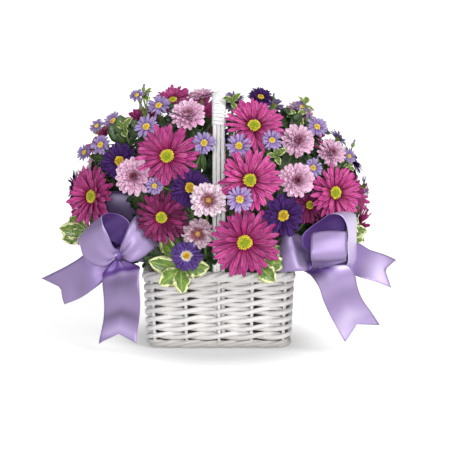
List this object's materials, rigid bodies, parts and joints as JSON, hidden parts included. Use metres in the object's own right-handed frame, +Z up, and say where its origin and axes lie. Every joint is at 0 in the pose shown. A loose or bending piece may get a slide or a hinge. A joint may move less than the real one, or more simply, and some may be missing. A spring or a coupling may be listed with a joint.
{
  "type": "flower basket arrangement",
  "caption": "Cut flowers and variegated greens in floral foam, in a small white wicker basket with an arched handle and satin ribbon bows.",
  "frame": {"origin": "the middle of the basket's underside, on the surface that it stands on", "axes": "+Z up; the front, which the picture shows, faces -Y; +X is to the viewer's right"},
  "size_m": [0.3697, 0.2283, 0.273],
  "materials": {
    "white_wicker": "willow rods painted matt white",
    "handle_rods": "willow rods painted matt white, side by side",
    "liner_plastic": "thin green plastic tray",
    "floral_foam": "soaked open-cell foam block, matt",
    "wired_pick": "green wooden florist pick with wire",
    "satin_ribbon": "lavender satin, soft sheen",
    "daisy_petals": "hot pink petals with paler streaks, yellow-green eye",
    "button_petals": "pale pink petals, rose heart",
    "aster_petals": "deep violet petals, yellow eye",
    "lavender_petals": "lavender petals, yellow eye",
    "greenery": "leaves edged with cream, satin sheen"
  },
  "bodies": {
    "root": {"aster_back_left": "aster_petals", "aster_back_middle": "aster_petals", "aster_left": "aster_petals", "aster_middle": "aster_petals", "aster_right": "aster_petals", "basket_base": "white_wicker", "basket_foot": "white_wicker", "basket_rim": "white_wicker", "basket_wall": "white_wicker", "bow_left_knot": "satin_ribbon", "bow_left_loop_back": "satin_ribbon", "bow_left_loop_left": "satin_ribbon", "bow_left_loop_right": "satin_ribbon", "bow_left_pick": "wired_pick", "bow_left_tail_down": "satin_ribbon", "bow_left_tail_side": "satin_ribbon", "bow_right_knot": "satin_ribbon", "bow_right_loop_front": "satin_ribbon", "bow_right_loop_left": "satin_ribbon", "bow_right_loop_side": "satin_ribbon", "bow_right_pick": "wired_pick", "bow_right_tail_down": "satin_ribbon", "bow_right_tail_side": "satin_ribbon", "button_back_left": "button_petals", "button_back_right": "button_petals", "button_back_side": "button_petals", "button_left": "button_petals", "button_middle": "button_petals", "button_right": "button_petals", "button_right_top": "button_petals", "button_top": "button_petals", "daisy_back_left": "daisy_petals", "daisy_back_low_left": "daisy_petals", "daisy_back_low_right": "daisy_petals", "daisy_back_top": "daisy_petals", "daisy_front": "daisy_petals", "daisy_left": "daisy_petals", "daisy_left_top": "daisy_petals", "daisy_low_left": "daisy_petals", "daisy_right": "daisy_petals", "daisy_right_top": "daisy_petals", "floral_foam": "floral_foam", "greens_back": "greenery", "greens_front_left": "greenery", "greens_front_right": "greenery", "greens_left": "greenery", "greens_right": "greenery", "greens_top_left": "greenery", "handle": "handle_rods", "lavender_back_left": "lavender_petals", "lavender_back_right": "lavender_petals", "lavender_back_top": "lavender_petals", "lavender_handle_left": "lavender_petals", "lavender_handle_right": "lavender_petals", "lavender_left": "lavender_petals", "lavender_left_top": "lavender_petals", "lavender_middle": "lavender_petals", "lavender_right": "lavender_petals", "lavender_right_top": "lavender_petals", "liner": "liner_plastic"}
  },
  "joints": []
}
